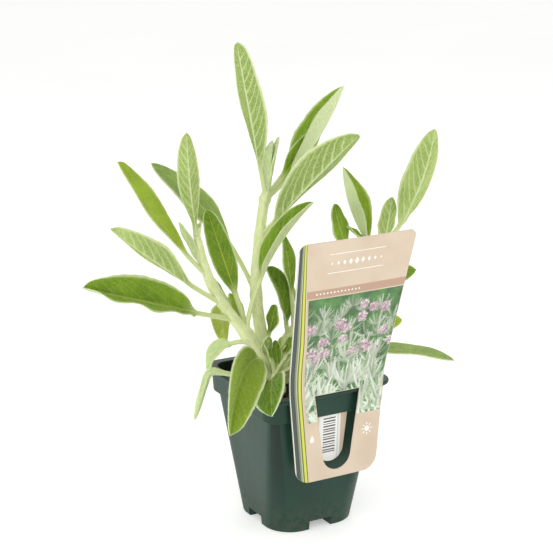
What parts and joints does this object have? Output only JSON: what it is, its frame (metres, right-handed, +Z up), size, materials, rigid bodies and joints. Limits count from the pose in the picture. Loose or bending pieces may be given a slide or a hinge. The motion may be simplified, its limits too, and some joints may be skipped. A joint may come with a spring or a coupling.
{
  "type": "lambs ear plant in a pot",
  "caption": "Potted lambs ear: woolly upright stems with long felted silver-green leaves, in a square nursery pot with a hooked plant label.",
  "frame": {"origin": "centre of the pot's underside, on the surface it stands on", "axes": "+Z up, X and Y parallel to the pot's sides, the label hangs on the -Y side"},
  "size_m": [0.2178, 0.1446, 0.3039],
  "materials": {
    "pot": "satin dark green moulded polypropylene",
    "soil": "damp dark peat compost",
    "label": "printed satin plastic card",
    "foliage": "soft felted leaf with silvery hairs"
  },
  "bodies": {
    "root": {"pot": "pot", "soil": "soil", "label": "label", "shootLeft": "foliage", "shootCentre": "foliage", "shootRight": "foliage", "rosette": "foliage"}
  },
  "joints": []
}
